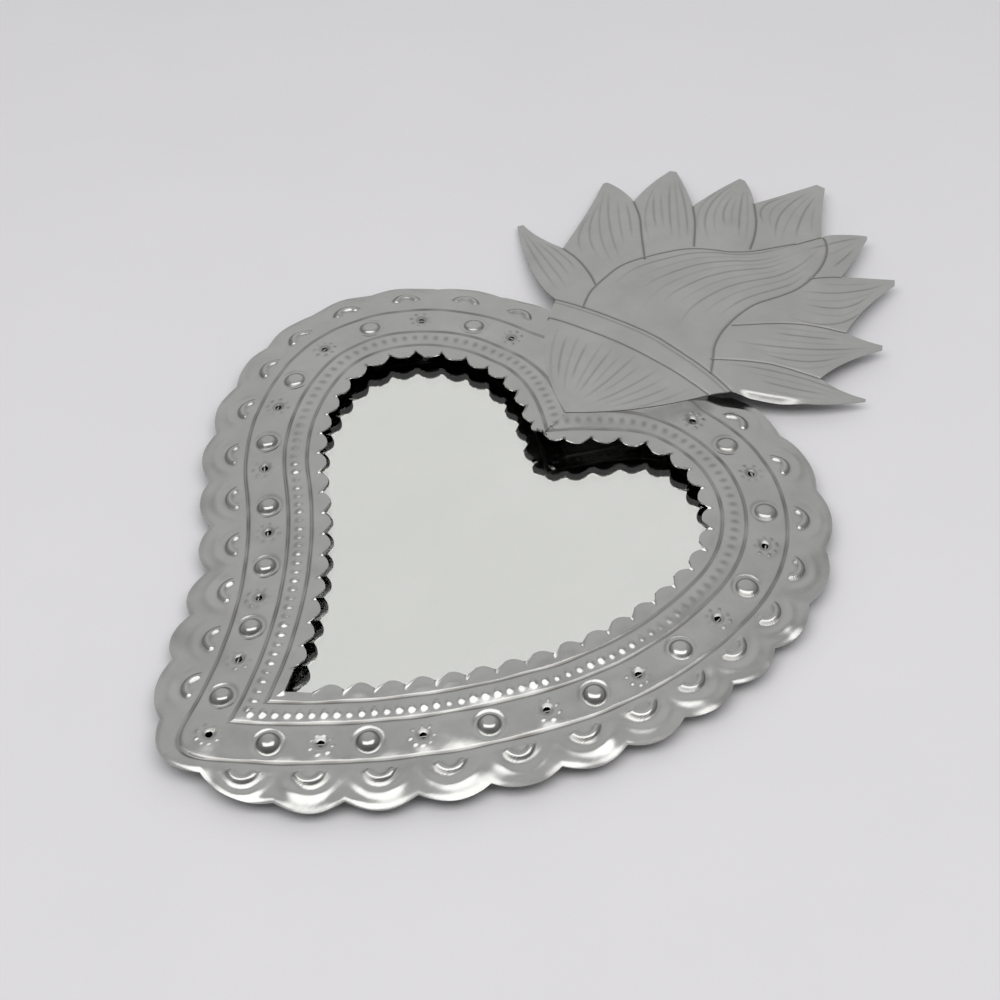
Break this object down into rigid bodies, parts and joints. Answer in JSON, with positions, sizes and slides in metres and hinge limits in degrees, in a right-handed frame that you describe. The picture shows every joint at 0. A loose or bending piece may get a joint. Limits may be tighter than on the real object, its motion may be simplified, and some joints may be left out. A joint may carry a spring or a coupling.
{
  "type": "mexican tin mirror",
  "caption": "Pressed tin wall mirror in the form of a flaming heart, with a scalloped border of domes and crescents, a flame crown and a hanging ring behind.",
  "frame": {"origin": "on the back face of the flat back plate, between the cleft and the tip of the heart", "axes": "+X to the right seen from the front, +Y up to the flames, +Z out of the wall to the front"},
  "size_m": [0.2315, 0.3561, 0.0159],
  "materials": {
    "tin": "pressed tin sheet, satin, bright where it is worked",
    "strip_tin": "plain tin strip, satin",
    "glass": "clear float glass",
    "silver": "silvered coat behind the glass",
    "card": "plain brown card",
    "solder": "soft solder",
    "wire": "tinned wire"
  },
  "bodies": {
    "mirror": {"front_sheet": "tin", "mirror_glass": "glass", "mirror_silver": "silver", "backing_card": "card", "box_wall_left": "strip_tin", "box_wall_right": "strip_tin", "back_plate": "strip_tin", "front_tacks": "solder", "tab_tacks": "solder", "hanger_strap": "strip_tin", "strap_solder": "solder"},
    "ring": {"hanging_ring": "wire"}
  },
  "joints": [
    {"name": "ring_hinge", "type": "hinge", "parent": "mirror", "child": "ring", "pos_m": [0.002, 0.064, 0.00978], "axis": [1, 0, 0], "range_deg": [-170, 0]}
  ]
}
